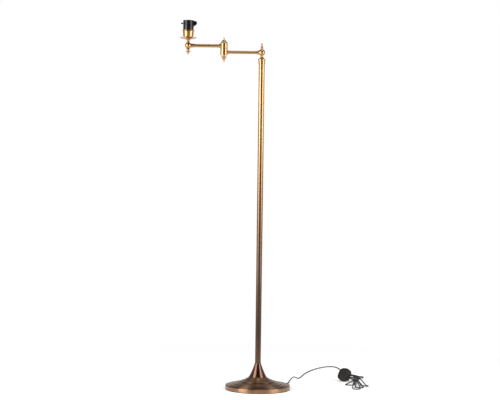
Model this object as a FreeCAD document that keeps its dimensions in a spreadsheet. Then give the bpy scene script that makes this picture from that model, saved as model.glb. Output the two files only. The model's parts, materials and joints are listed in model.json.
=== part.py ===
import FreeCAD, Part
import math
import os

import Sketcher
from FreeCAD import Placement, Rotation, Vector

# Bridge floor lamp. Millimetres, +Z up, origin on the floor under the column. The arms reach out along -X.

SIZES = [
    # base
    ("base_radius", 122.5),
    ("felt_thick", 2.0),
    ("shell_wall", 1.2),
    ("rim_height", 14.6),
    ("rim_round", 3.0),
    ("first_step_in", 8.5),
    ("second_step_in", 18.5),
    ("third_step_in", 31.5),
    ("fourth_step_in", 56.5),
    ("first_step_height", 16.8),
    ("second_step_height", 18.8),
    ("third_step_height", 21.4),
    ("fourth_step_height", 29.8),
    ("step_rise", 1.7),
    ("step_run", 0.5),
    ("cove_curve", 90.0),
    ("base_top", 45.0),
    ("seat_radius", 36.0),
    ("weight_edge", 9.0),
    ("well_radius", 21.0),
    ("well_top", 34.0),
    # column
    ("column_radius", 11.0),
    ("column_wall", 1.5),
    ("column_length", 1188.0),
    ("trumpet_radius", 34.5),
    ("trumpet_height", 55.0),
    ("trumpet_wall", 1.4),
    ("trumpet_curve", 240.0),
    ("rod_radius", 5.0),
    ("rod_bore", 2.8),
    ("nut_flats", 17.0),
    ("nut_height", 6.0),
    ("washer_thick", 1.5),
    ("washer_radius", 13.0),
    ("plug_ring_height", 18.0),
    ("spigot_length", 19.0),
    ("skirt_length", 12.0),
    ("flange_radius", 13.8),
    ("flange_height", 8.0),
    ("neck_radius", 4.5),
    ("neck_height", 9.0),
    # pivots
    ("nipple_radius", 3.6),
    ("nipple_bore", 2.5),
    ("pivot_clearance", 0.05),
    ("thread_clearance", 0.05),
    ("face_clearance", 0.05),
    ("pivot_nut_radius", 6.4),
    ("pivot_nut_height", 5.0),
    # column head
    ("head_rise", 31.0),
    ("ball_radius", 12.5),
    ("ball_wall", 3.5),
    ("boss_length", 10.0),
    ("boss_flare", 2.8),
    ("stud_radius", 2.0),
    # arms
    ("arm_radius", 5.75),
    ("outer_arm_radius", 6.25),
    ("arm_wall", 1.5),
    ("arm_socket", 3.5),
    ("inner_reach", 142.0),
    ("outer_reach", 134.0),
    ("arm_rise", 23.0),
    # knuckle
    ("barrel_radius", 13.5),
    ("barrel_wall", 3.8),
    ("barrel_below", 11.5),
    ("barrel_above", 13.0),
    ("knuckle_gap", 0.8),
    ("shoulder_height", 9.5),
    ("shoulder_round", 5.5),
    # end ball, pan and cup
    ("end_ball_radius", 12.2),
    ("end_seat", 0.8),
    ("riser_height", 23.0),
    ("riser_waist", 4.9),
    ("riser_top", 8.8),
    ("pan_radius", 32.0),
    ("pan_depth", 6.0),
    ("pan_sheet", 1.0),
    ("cup_floor", 11.0),
    ("cup_low_radius", 18.8),
    ("cup_top_radius", 21.0),
    ("cup_lip_radius", 24.9),
    ("cup_height", 32.0),
    ("cup_sheet", 0.8),
    # lampholder
    ("holder_radius", 19.75),
    ("holder_height", 69.5),
    ("socket_radius", 13.5),
    ("socket_depth", 28.0),
    ("socket_sheet", 0.6),
    ("holder_bore", 14.5),
    ("terminal_radius", 12.2),
    ("shell_foot", 5.0),
    ("shell_sink", 1.5),
    ("holder_wall", 2.5),
    ("switch_drop", 10.5),
    ("switch_offset", 16.7),
    ("switch_radius", 1.5),
    ("switch_knob", 3.6),
    ("switch_left", 24.6),
    ("switch_right", 22.5),
    ("hood_reach", 31.7),
    ("hood_width", 18.0),
    ("hood_wall", 1.5),
    # flex
    ("flex_radius", 2.0),
    ("flex_height", 7.5),
    ("flex_bend", 16.0),
    ("flex_seat", 0.3),
    ("outlet_angle", 42.0),
    ("outlet_radius", 5.0),
    ("outlet_length", 12.0),
    ("hank_x", 386.2),
    ("hank_y", 240.0),
    ("hank_step", 4.8),
    ("hank_layer", 4.9),
    ("hank_drop", 0.84),
    ("tie_thick", 0.9),
    ("tie_width", 6.0),
    # mains plug
    ("plug_width", 51.0),
    ("plug_corner", 20.0),
    ("plug_base_depth", 8.0),
    ("plug_cover_depth", 13.0),
    ("plug_round", 8.0),
    ("pin_pitch", 22.2),
    ("earth_length", 22.7),
    ("line_length", 17.7),
    ("pin_thick", 4.0),
    ("earth_wide", 8.0),
    ("line_wide", 6.35),
    ("grommet_length", 14.0),
]

doc = FreeCAD.newDocument("BridgeLamp")
sheet = doc.addObject("Spreadsheet::Sheet", "Sizes")


class Size:
    """A size of the sheet, or a sum of such sizes: its number, and the expression that binds it."""

    def __init__(self, value, text):
        self.value = float(value)
        self.text = text

    def __add__(self, other):
        other = as_size(other)
        return Size(self.value + other.value, f"({self.text} + {other.text})")

    def __sub__(self, other):
        other = as_size(other)
        return Size(self.value - other.value, f"({self.text} - {other.text})")

    def __mul__(self, other):
        other = as_size(other)
        return Size(self.value * other.value, f"({self.text} * {other.text})")

    def __truediv__(self, other):
        other = as_size(other)
        return Size(self.value / other.value, f"({self.text} / {other.text})")

    def __neg__(self):
        return Size(-self.value, f"(0 - {self.text})")

    def __float__(self):
        return self.value


def as_size(number):
    return number if isinstance(number, Size) else Size(number, repr(float(number)))


class Sheet:
    """The driving sizes by name."""


S = Sheet()
for row, (alias, value) in enumerate(SIZES, start=1):
    sheet.set(f"A{row}", alias)
    sheet.set(f"B{row}", str(value))
    sheet.setAlias(f"B{row}", alias)
    setattr(S, alias, Size(value, f"Sizes.{alias}"))
doc.recompute()

pieces = []
cuts = []


# ---------------------------------------------------------------- helpers


def bind(thing, name, size):
    size = as_size(size)
    thing.setExpression(name, size.text)


def place(thing, x=0, y=0, z=0, rotation=None):
    """Stands a piece at x, y, z, bound to the sheet."""
    thing.Placement = Placement(Vector(float(as_size(x)), float(as_size(y)), float(as_size(z))), rotation or Rotation())
    for axis, size in (("x", x), ("y", y), ("z", z)):
        if isinstance(size, Size):
            bind(thing, f"Placement.Base.{axis}", size)


def new_body(label, x=0, y=0, z=0, rotation=None):
    body = doc.addObject("PartDesign::Body", label)
    body.Label = label
    place(body, x, y, z, rotation)
    pieces.append(body)
    return body


def origin_plane(body, role):
    return next(f for f in body.Origin.OriginFeatures if f.Role == role)


def draw(body, name, outline, role="XZ_Plane", offset=0):
    """A closed outline. A point is (x, y), or (x, y, radius) where an arc leads to it.

    A positive radius curves to the left of the way, a negative one to the right. A fourth entry names the
    axis that the arc's centre lies on, as a ball's does: its radius then follows from its two ends.
    """
    sketch = body.newObject("Sketcher::SketchObject", name)
    sketch.AttachmentSupport = [(origin_plane(body, role), "")]
    sketch.MapMode = "FlatFace"
    if isinstance(offset, Size):
        sketch.AttachmentOffset = Placement(Vector(0, 0, offset.value), Rotation())
        bind(sketch, "AttachmentOffset.Base.z", offset)
    points = [tuple(as_size(v) for v in point[:3]) for point in outline]
    centred = [point[3] if len(point) == 4 else None for point in outline]
    ends = []
    for i, start in enumerate(points):
        stop = points[(i + 1) % len(points)]
        a, b = Vector(start[0].value, start[1].value, 0), Vector(stop[0].value, stop[1].value, 0)
        if len(stop) == 2:
            sketch.addGeometry(Part.LineSegment(a, b), False)
            ends.append((1, 2))
            continue
        radius, left = abs(stop[2].value), stop[2].value > 0
        chord = b - a
        height = math.sqrt(max(radius**2 - chord.Length**2 / 4, 0.0))
        side = Vector(-chord.y, chord.x, 0).normalize() * (1 if left else -1)
        centre = (a + b) * 0.5 + side * height
        first, last = (a, b) if left else (b, a)
        low = math.atan2(first.y - centre.y, first.x - centre.x)
        high = math.atan2(last.y - centre.y, last.x - centre.x)
        high = high if high > low else high + 2 * math.pi
        circle = Part.Circle(centre, Vector(0, 0, 1), radius)
        sketch.addGeometry(Part.ArcOfCircle(circle, low, high), False)
        ends.append((1, 2) if left else (2, 1))
    count = len(points)
    for i in range(count):
        after = (i + 1) % count
        sketch.addConstraint(Sketcher.Constraint("Coincident", i, ends[i][1], after, ends[after][0]))
    for i, point in enumerate(points):
        for way, size in (("DistanceX", point[0]), ("DistanceY", point[1])):
            index = sketch.addConstraint(Sketcher.Constraint(way, -1, 1, i, ends[i][0], size.value))
            if "Sizes" in size.text:
                label = f"{way[-1].lower()}{i}"
                sketch.renameConstraint(index, label)
                bind(sketch, f"Constraints.{label}", size)
        if len(point) == 3:
            geometry = (i - 1) % count
            if centred[i]:
                way = "DistanceX" if centred[i] == "V_Axis" else "DistanceY"
                sketch.addConstraint(Sketcher.Constraint(way, -1, 1, geometry, 3, 0.0))
                continue
            index = sketch.addConstraint(Sketcher.Constraint("Radius", geometry, abs(point[2].value)))
            size = point[2] if point[2].value > 0 else -point[2]
            if "Sizes" in size.text:
                sketch.renameConstraint(index, f"r{i}")
                bind(sketch, f"Constraints.r{i}", size)
    return sketch


def turn(body, name, outline, axis="V_Axis", cut=False):
    """Turns an outline, radius and height, about the piece's upright axis, or about its X axis."""
    sketch = draw(body, name + "_outline", outline)
    feature = body.newObject("PartDesign::Groove" if cut else "PartDesign::Revolution", name)
    feature.Profile = sketch
    feature.ReferenceAxis = (sketch, [axis])
    feature.Angle = 360
    if cut:
        cuts.append(feature)
    return feature


def bored(body, name, radius, low, high, axis="V_Axis"):
    """A round hole about the piece's upright axis, or about its X axis, from low to high."""
    if axis == "V_Axis":
        return turn(body, name, [(0, low), (radius, low), (radius, high), (0, high)], axis, True)
    return turn(body, name, [(low, 0), (high, 0), (high, radius), (low, radius)], axis, True)


def pad(body, name, outline, length, role="XY_Plane", offset=0, midplane=False, cut=False):
    sketch = draw(body, name + "_outline", outline, role, offset)
    feature = body.newObject("PartDesign::Pocket" if cut else "PartDesign::Pad", name)
    feature.Profile = sketch
    bind(feature, "Length", length)
    feature.Midplane = midplane
    if cut:
        cuts.append(feature)
    return feature


def tube(label, outer, inner, low, high, **where):
    body = new_body(label, **where)
    turn(body, label + "_wall", [(inner, low), (outer, low), (outer, high), (inner, high)])
    return body


def rounded_route(points):
    """Straight runs joined by tangent arcs, each as large as its two runs allow."""
    points = [Vector(*p) for p in points]
    edges, radii, here = [], [], points[0]
    for before, corner, after in zip(points, points[1:], points[2:]):
        into, out = (corner - before), (after - corner)
        short = 0.45 * min(into.Length, out.Length)
        into.normalize()
        out.normalize()
        half = into.getAngle(out) / 2
        start, stop = corner - into * short, corner + out * short
        radius = short / math.tan(half)
        bisector = (out - into).normalize()
        middle = corner + bisector * (radius / math.cos(half) - radius)
        edges.append(Part.LineSegment(here, start).toShape())
        edges.append(Part.Arc(start, middle, stop).toShape())
        radii.append(radius)
        here = stop
    edges.append(Part.LineSegment(here, points[-1]).toShape())
    return Part.Wire(edges), radii


def swept(label, points, radius):
    """One round cord along a route, with its radii and its volume checked."""
    wire, radii = rounded_route(points)
    start = Vector(*points[0])
    way = (Vector(*points[1]) - start).normalize()
    section = Part.Wire([Part.Edge(Part.Circle(start, way, radius))])
    solid = wire.makePipeShell([section], True, False)
    wanted = math.pi * radius**2 * wire.Length
    print(f"{label}: length {wire.Length:.0f}, least radius {min(radii):.1f}, radii",
          " ".join(f"{r:.0f}" for r in radii), f"volume ratio {solid.Volume / wanted:.4f}")
    piece = doc.addObject("Part::Feature", label)
    piece.Label = label
    piece.Shape = solid
    pieces.append(piece)
    return piece, wire


# ---------------------------------------------------------------- base


def cover_outline(drop, inset):
    """The spun cover's upper side, lowered by drop and drawn in by inset, from the rim's foot inwards."""
    rim_top = S.felt_thick + S.rim_height
    top = rim_top - drop
    round_radius = S.rim_round - inset
    outline = [
        (S.base_radius - inset, S.felt_thick),
        (S.base_radius - inset, rim_top - S.rim_round - drop + inset),
        (S.base_radius - S.rim_round, top, round_radius),
    ]
    for step_in, height in (
        (S.first_step_in, S.first_step_height), (S.second_step_in, S.second_step_height),
        (S.third_step_in, S.third_step_height), (S.fourth_step_in, S.fourth_step_height),
    ):
        foot = S.base_radius - step_in - inset
        outline += [(foot, height - drop), (foot - S.step_run, height + S.step_rise - drop)]
    outline.append((S.seat_radius, S.base_top - drop, -S.cove_curve))
    return outline


def base():
    felt = new_body("base_felt")
    edge = S.base_radius - S.shell_wall * 0.5
    turn(felt, "felt_disc", [(0, 0), (edge, 0), (edge, S.felt_thick), (0, S.felt_thick)])

    cover = new_body("base_cover")
    hole = S.rod_radius + S.thread_clearance
    outside = cover_outline(0, as_size(0)) + [(hole, S.base_top)]
    inside = [(hole, S.base_top - S.shell_wall)]
    inner = cover_outline(S.shell_wall, S.shell_wall)
    # the inner side runs back outwards, so each arc leads to the point before it and curves the other way
    back = []
    for i in range(len(inner) - 1, -1, -1):
        after = inner[i + 1] if i + 1 < len(inner) else None
        point = inner[i][:2]
        back.append(point + (-after[2],) if after and len(after) == 3 else point)
    turn(cover, "cover_sheet", outside + inside + back)
    notch = S.outlet_radius + S.thread_clearance
    cover_hole = draw_circle(cover, "outlet_hole_outline", notch, S.flex_height)
    cut_along_outlet(cover, "outlet_hole", cover_hole)

    weight = new_body("base_weight")
    out = S.base_radius - S.shell_wall - 0.6
    turn(weight, "weight_disc", [
        (S.well_radius, S.felt_thick),
        (out, S.felt_thick),
        (out, S.felt_thick + S.weight_edge),
        (S.base_radius - S.third_step_in, S.third_step_height - S.shell_wall - 3.8),
        (S.base_radius - S.fourth_step_in, S.fourth_step_height - S.shell_wall - 3.8),
        (S.seat_radius, S.base_top - S.shell_wall - 1.4),
        (S.seat_radius - 3, S.base_top - S.shell_wall),
        (S.rod_radius + S.thread_clearance, S.base_top - S.shell_wall),
        (S.rod_radius + S.thread_clearance, S.well_top),
        (S.well_radius, S.well_top),
    ])
    slot_half = S.outlet_radius + 1
    sketch = draw(weight, "flex_slot_outline", [
        (0, -slot_half), (S.base_radius, -slot_half), (S.base_radius, slot_half), (0, slot_half),
    ], "XY_Plane", S.felt_thick)
    sketch.AttachmentOffset = Placement(Vector(0, 0, S.felt_thick.value), Rotation(Vector(0, 0, 1), S.outlet_angle.value))
    bind(sketch, "AttachmentOffset.Rotation.Angle", S.outlet_angle)
    slot = weight.newObject("PartDesign::Pocket", "flex_slot")
    slot.Profile = sketch
    bind(slot, "Length", S.flex_height + S.outlet_radius + 0.5 - S.felt_thick)
    slot.Reversed = True
    cuts.append(slot)

    washer_top = S.well_top
    tube("base_washer", S.washer_radius, S.rod_radius + S.thread_clearance,
         washer_top - S.washer_thick, washer_top)
    hex_nut("base_nut", S.nut_flats, S.rod_radius + S.thread_clearance,
            washer_top - S.washer_thick - S.nut_height, S.nut_height)


def draw_circle(body, name, radius, height):
    """A circle about the line that the flex leaves by, on the body's YZ plane turned to the outlet."""
    sketch = body.newObject("Sketcher::SketchObject", name)
    sketch.AttachmentSupport = [(origin_plane(body, "YZ_Plane"), "")]
    sketch.MapMode = "FlatFace"
    sketch.addGeometry(Part.Circle(Vector(0, height.value, 0), Vector(0, 0, 1), radius.value), False)
    sketch.addConstraint(Sketcher.Constraint("Radius", 0, radius.value))
    sketch.addConstraint(Sketcher.Constraint("DistanceX", -1, 1, 0, 3, 0.0))
    sketch.addConstraint(Sketcher.Constraint("DistanceY", -1, 1, 0, 3, height.value))
    sketch.renameConstraint(0, "radius")
    sketch.renameConstraint(2, "height")
    bind(sketch, "Constraints.radius", radius)
    bind(sketch, "Constraints.height", height)
    # the sketch's own Y is the upright one, so the outlet's angle turns it about that
    sketch.AttachmentOffset = Placement(Vector(0, 0, 0), Rotation(Vector(0, 1, 0), S.outlet_angle.value))
    bind(sketch, "AttachmentOffset.Rotation.Angle", S.outlet_angle)
    return sketch


def cut_along_outlet(body, name, sketch):
    hole = body.newObject("PartDesign::Pocket", name)
    hole.Profile = sketch
    bind(hole, "Length", S.base_radius * 1.2)
    hole.Reversed = True
    cuts.append(hole)


def hex_nut(label, flats, bore, low, height, **where):
    body = new_body(label, **where)
    corner = flats / math.sqrt(3)
    half = corner / 2
    flat = flats / 2
    pad(body, label + "_hexagon", [
        (corner, 0), (half, flat), (-half, flat), (-corner, 0), (-half, -flat), (half, -flat),
    ], height, "XY_Plane", low)
    bored(body, label + "_bore", bore, low - 1, low + height + 1)
    return body


# ---------------------------------------------------------------- column


def column():
    top = S.base_top + S.column_length
    trumpet = new_body("column_trumpet")
    mouth = S.column_radius + S.thread_clearance
    rise = S.base_top + S.trumpet_height
    turn(trumpet, "trumpet_bell", [
        (S.trumpet_radius - S.trumpet_wall * 1.6, S.base_top),
        (S.trumpet_radius, S.base_top),
        (S.trumpet_radius, S.base_top + 1.4),
        (S.trumpet_radius - 1, S.base_top + 2.4),
        (mouth + S.trumpet_wall * 0.8, rise - 3, -S.trumpet_curve),
        (mouth + S.trumpet_wall * 0.8, rise),
        (mouth, rise),
        (mouth, rise - 9),
        (S.trumpet_radius - S.trumpet_wall * 2.2, S.base_top + 2, S.trumpet_curve),
    ])
    tube("column_tube", S.column_radius, S.column_radius - S.column_wall, S.base_top, top)

    rod_low = S.flex_height + S.flex_bend + 0.5
    rod_high = top - S.spigot_length
    tube("tie_rod", S.rod_radius, S.rod_bore, rod_low, rod_high)
    ring_radius = S.column_radius - S.column_wall - S.thread_clearance
    tube("column_ring", ring_radius, S.rod_radius + S.thread_clearance, rod_high - S.plug_ring_height, rod_high)

    cap = new_body("column_cap", z=top)
    pivot_bore = S.nipple_radius + S.pivot_clearance
    nut_room = S.pivot_nut_radius + 0.6
    ceiling = S.spigot_length - 4
    turn(cap, "cap_body", [
        (nut_room, -S.spigot_length),
        (ring_radius, -S.spigot_length),
        (ring_radius, 0),
        (S.column_radius + S.thread_clearance, 0),
        (S.column_radius + S.thread_clearance, -S.skirt_length),
        (S.column_radius + 1.2, -S.skirt_length),
        (S.column_radius + 1.2, 0),
        (S.flange_radius - 0.8, 0),
        (S.flange_radius, 0.8, 0.8),
        (S.flange_radius, S.flange_height - 2.5),
        (S.flange_radius - 2, S.flange_height, 2.6),
        (S.neck_radius, S.flange_height + S.neck_height, -12.0),
        (pivot_bore, S.flange_height + S.neck_height),
        (pivot_bore, -S.spigot_length + ceiling),
        (nut_room, -S.spigot_length + ceiling),
    ])


# ---------------------------------------------------------------- inner arm


def arm_levels():
    low = S.base_top + S.column_length + S.head_rise
    return low, low + S.arm_rise


def hollow_ball(label, radius, socket, reach, **where):
    """A hollow ball with a flared boss that takes an arm, about the piece's X axis. reach is +1 or -1."""
    body = new_body(label, **where)
    boss_top = socket + S.trumpet_wall
    boss_end = (radius + S.boss_length) * reach
    if reach < 0:
        turn(body, label + "_form", [
            (boss_end, 0),
            (radius, 0),
            (-radius * 0.72, radius * 0.694, radius, "H_Axis"),
            (boss_end, boss_top, -22.0),
        ], "H_Axis")
    else:
        turn(body, label + "_form", [
            (-radius, 0, radius, "H_Axis"),
            (boss_end, 0),
            (boss_end, boss_top),
            (radius * 0.72, radius * 0.694, -22.0),
        ], "H_Axis")
    return body


def column_head():
    level, _ = arm_levels()
    socket = S.arm_radius + S.thread_clearance
    ball = hollow_ball("column_ball", S.ball_radius, socket, -1, z=level)
    seat = S.flange_height + S.neck_height + S.face_clearance - S.head_rise
    turn(ball, "ball_foot", [(0, seat), (S.neck_radius, seat), (S.neck_radius, seat + 5), (0, seat + 5)])
    cavity = S.ball_radius - S.ball_wall
    turn(ball, "ball_cavity", [(-cavity, 0, cavity, "H_Axis"), (cavity, 0)], "H_Axis", True)
    socket_depth = S.ball_radius - S.arm_socket
    bored(ball, "arm_hole", socket, -S.ball_radius - S.boss_length - 1, -socket_depth, "H_Axis")
    bored(ball, "arm_way", S.arm_radius - S.arm_wall, -socket_depth - 1, 0, "H_Axis")
    bored(ball, "nipple_hole", S.nipple_radius + S.thread_clearance, seat - 1, 0)
    bored(ball, "stud_hole", S.stud_radius + S.thread_clearance, 0, S.ball_radius + 1)

    top = S.base_top + S.column_length
    nut_top = top - 4 - S.face_clearance * 3
    tube("swivel_nipple", S.nipple_radius, S.nipple_bore,
         nut_top - S.pivot_nut_height - 2, level - S.ball_radius + S.ball_wall + 1)
    tube("swivel_nut", S.pivot_nut_radius, S.nipple_radius + S.thread_clearance,
         nut_top - S.pivot_nut_height, nut_top)

    finial = new_body("column_finial", z=level)
    turn(finial, "finial_form", [
        (0, S.ball_radius - S.ball_wall),
        (S.stud_radius, S.ball_radius - S.ball_wall),
        (S.stud_radius, S.ball_radius),
        (4.6, S.ball_radius - 0.4),
        (4.6, S.ball_radius),
        (4.2, S.ball_radius + 5.4, 3.9),
        (3.2, S.ball_radius + 7.4),
        (5.4, S.ball_radius + 8.6),
        (5.4, S.ball_radius + 10),
        (2.6, S.ball_radius + 12),
        (1.8, S.ball_radius + 15.6),
        (0, S.ball_radius + 22, 3.5, "V_Axis"),
    ])

    length = S.inner_reach - socket_depth - (S.barrel_radius - S.arm_socket)
    arm = new_body("inner_arm_tube", x=-(S.inner_reach - S.barrel_radius + S.arm_socket), z=level)
    turn(arm, "inner_arm_wall", [
        (0, S.arm_radius - S.arm_wall), (length, S.arm_radius - S.arm_wall),
        (length, S.arm_radius), (0, S.arm_radius),
    ], "H_Axis")


def boss(body, name, radius, reach, way):
    """The short flared boss on a barrel that takes an arm."""
    start = (S.barrel_radius - 3) * way
    stop = (S.barrel_radius + S.boss_length * 0.4) * way
    outline = [(start, 0), (stop, 0), (stop, radius + S.trumpet_wall), (start, radius + S.boss_flare)]
    if way < 0:
        outline = [(stop, 0), (start, 0), (start, radius + S.boss_flare), (stop, radius + S.trumpet_wall)]
    turn(body, name, outline, "H_Axis")


def knuckle():
    low_level, high_level = arm_levels()
    pivot_bore = S.nipple_radius + S.pivot_clearance
    hold = S.nipple_radius + S.thread_clearance
    room = S.barrel_radius - S.barrel_wall
    inner_socket = S.arm_radius + S.thread_clearance
    outer_socket = S.outer_arm_radius + S.thread_clearance

    lower = new_body("knuckle_lower_barrel", x=-S.inner_reach, z=low_level)
    turn(lower, "lower_form", [
        (0, -S.barrel_below),
        (S.barrel_radius - 1, -S.barrel_below),
        (S.barrel_radius, -S.barrel_below + 1, 1.0),
        (S.barrel_radius, S.barrel_above),
        (0, S.barrel_above),
    ])
    boss(lower, "lower_boss", inner_socket, S.inner_reach, 1)
    turn(lower, "lower_cavity", [
        (0, -S.barrel_below + S.barrel_wall), (room, -S.barrel_below + S.barrel_wall),
        (room, S.barrel_above - S.barrel_wall), (0, S.barrel_above - S.barrel_wall),
    ], cut=True)
    bored(lower, "lower_arm_hole", inner_socket, 0, S.barrel_radius + S.boss_length, "H_Axis")
    bored(lower, "lower_pivot_hole", pivot_bore, 0, S.barrel_above + 1)
    bored(lower, "lower_stud_hole", S.stud_radius + S.thread_clearance, -S.barrel_below - 1, 0)

    washer = new_body("knuckle_washer", x=-S.inner_reach, z=low_level)
    turn(washer, "washer_ring", [
        (pivot_bore, S.barrel_above), (S.barrel_radius - 0.7, S.barrel_above),
        (S.barrel_radius - 0.7, S.barrel_above + S.knuckle_gap), (pivot_bore, S.barrel_above + S.knuckle_gap),
    ])

    below = S.arm_rise - S.barrel_above - S.knuckle_gap - S.face_clearance
    upper = new_body("knuckle_upper_barrel", x=-S.inner_reach, z=high_level)
    turn(upper, "upper_form", [
        (0, -below),
        (S.barrel_radius, -below),
        (S.barrel_radius, S.shoulder_height),
        (S.barrel_radius - 3.6, S.shoulder_height + S.shoulder_round, S.shoulder_round * 1.3),
        (0, S.shoulder_height + S.shoulder_round),
    ])
    boss(upper, "upper_boss", outer_socket, S.outer_reach, -1)
    turn(upper, "upper_cavity", [
        (0, -below + S.barrel_wall - 1), (room, -below + S.barrel_wall - 1),
        (room, S.shoulder_height), (0, S.shoulder_height),
    ], cut=True)
    bored(upper, "upper_arm_hole", outer_socket, -S.barrel_radius - S.boss_length, 0, "H_Axis")
    bored(upper, "upper_nipple_hole", hold, -below - 1, 0)
    bored(upper, "upper_stud_hole", S.stud_radius + S.thread_clearance, 0, S.shoulder_height + S.shoulder_round + 1)

    nut_top = S.barrel_above - S.barrel_wall - S.face_clearance * 3
    tube("knuckle_nipple", S.nipple_radius, S.nipple_bore, nut_top - S.pivot_nut_height - 1.5,
         S.arm_rise - below + 1.2, x=-S.inner_reach, z=low_level)
    tube("knuckle_nut", S.pivot_nut_radius, hold, nut_top - S.pivot_nut_height, nut_top,
         x=-S.inner_reach, z=low_level)

    top = S.shoulder_height + S.shoulder_round
    spike = new_body("knuckle_spike", x=-S.inner_reach, z=high_level)
    turn(spike, "spike_form", [
        (0, S.shoulder_height),
        (S.stud_radius, S.shoulder_height),
        (S.stud_radius, top),
        (9.4, top),
        (9.4, top + 1.2),
        (3.0, top + 7.2, 8.0),
        (2.7, top + 7.8),
        (1.9, top + 16),
        (0, top + 18, 1.9, "V_Axis"),
    ])

    drop = S.barrel_below
    finial = new_body("knuckle_finial", x=-S.inner_reach, z=low_level)
    turn(finial, "lower_finial_form", [
        (0, -drop - 25.5),
        (2.6, -drop - 24, 3.0, "V_Axis"),
        (3.0, -drop - 17),
        (4.0, -drop - 16),
        (9.9, -drop - 5.5),
        (9.9, -drop - 3.6),
        (4.6, -drop - 2.4),
        (4.6, -drop),
        (S.stud_radius, -drop),
        (S.stud_radius, -drop + S.barrel_wall),
        (0, -drop + S.barrel_wall),
    ])


# ---------------------------------------------------------------- outer arm


def outer_end():
    _, level = arm_levels()
    end = -(S.inner_reach + S.outer_reach)
    socket = S.outer_arm_radius + S.thread_clearance
    socket_depth = S.end_ball_radius - S.arm_socket
    start = S.barrel_radius - S.arm_socket
    length = S.outer_reach - socket_depth - start
    arm = new_body("outer_arm_tube", x=end + socket_depth, z=level)
    bore = S.outer_arm_radius - S.arm_wall
    turn(arm, "outer_arm_wall", [
        (0, bore), (length, bore), (length, S.outer_arm_radius), (0, S.outer_arm_radius),
    ], "H_Axis")

    ball = hollow_ball("end_ball", S.end_ball_radius, socket, 1, x=end, z=level)
    cavity = S.end_ball_radius - S.ball_wall
    hold = S.nipple_radius + S.thread_clearance
    turn(ball, "end_cavity", [(-cavity, 0, cavity, "H_Axis"), (cavity, 0)], "H_Axis", True)
    bored(ball, "end_arm_hole", socket, socket_depth, S.end_ball_radius + S.boss_length + 1, "H_Axis")
    bored(ball, "end_arm_way", bore, 0, socket_depth + 1, "H_Axis")
    bored(ball, "end_nipple_hole", hold, 0, S.end_ball_radius + 1)
    bored(ball, "end_stud_hole", S.stud_radius + S.thread_clearance, -S.end_ball_radius - 1, 0)
    foot = S.end_ball_radius - S.end_seat
    bored(ball, "end_finial_seat", 7.5, -S.end_ball_radius - 1, -foot)
    bored(ball, "end_riser_seat", 7.5, foot, S.end_ball_radius + 1)

    finial = new_body("end_finial", x=end, z=level)
    turn(finial, "end_finial_form", [
        (0, -foot - 22.4),
        (1.6, -foot - 20.6, 1.6, "V_Axis"),
        (3.4, -foot - 15),
        (9.3, -foot - 11),
        (9.3, -foot - 9.4),
        (5.0, -foot - 7.6),
        (4.8, -foot - 5),
        (6.6, -foot - 2.4),
        (6.0, -foot),
        (S.stud_radius, -foot),
        (S.stud_radius, -foot + S.ball_wall),
        (0, -foot + S.ball_wall),
    ])

    riser = new_body("riser", x=end, z=level)
    lift = foot
    turn(riser, "riser_form", [
        (hold, lift),
        (7.0, lift),
        (7.0, lift + 1.2),
        (S.riser_waist, lift + 4.4, -6.0),
        (S.riser_top, S.riser_height, -14.0),
        (hold, S.riser_height),
    ])

    floor = S.riser_height
    pan = new_body("shade_pan", x=end, z=level)
    turn(pan, "pan_sheet_form", [
        (hold, floor),
        (S.cup_floor + 2, floor),
        (S.pan_radius, floor + S.pan_depth, 70.0),
        (S.pan_radius, floor + S.pan_depth + S.pan_sheet),
        (S.cup_floor + 2, floor + S.pan_sheet, -70.0),
        (hold, floor + S.pan_sheet),
    ])

    base_level = floor + S.pan_sheet
    cup = new_body("holder_cup", x=end, z=level + base_level)
    sheet_wall = S.cup_sheet
    turn(cup, "cup_sheet_form", [
        (hold, 0),
        (S.cup_floor, 0),
        (S.cup_low_radius, 8.5, 10.5),
        (S.cup_top_radius, S.cup_height - 2.4),
        (S.cup_lip_radius, S.cup_height, -6.0),
        (S.cup_lip_radius, S.cup_height + sheet_wall),
        (S.cup_top_radius - sheet_wall, S.cup_height - 2.0, 7.0),
        (S.cup_low_radius - sheet_wall, 8.5),
        (S.cup_floor, sheet_wall, -9.7),
        (hold, sheet_wall),
    ])

    nipple_low = S.end_ball_radius - S.ball_wall - 1
    tube("riser_nipple", S.nipple_radius, S.nipple_bore, nipple_low,
         base_level + sheet_wall + 14, x=end, z=level)
    return level + base_level + sheet_wall


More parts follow.
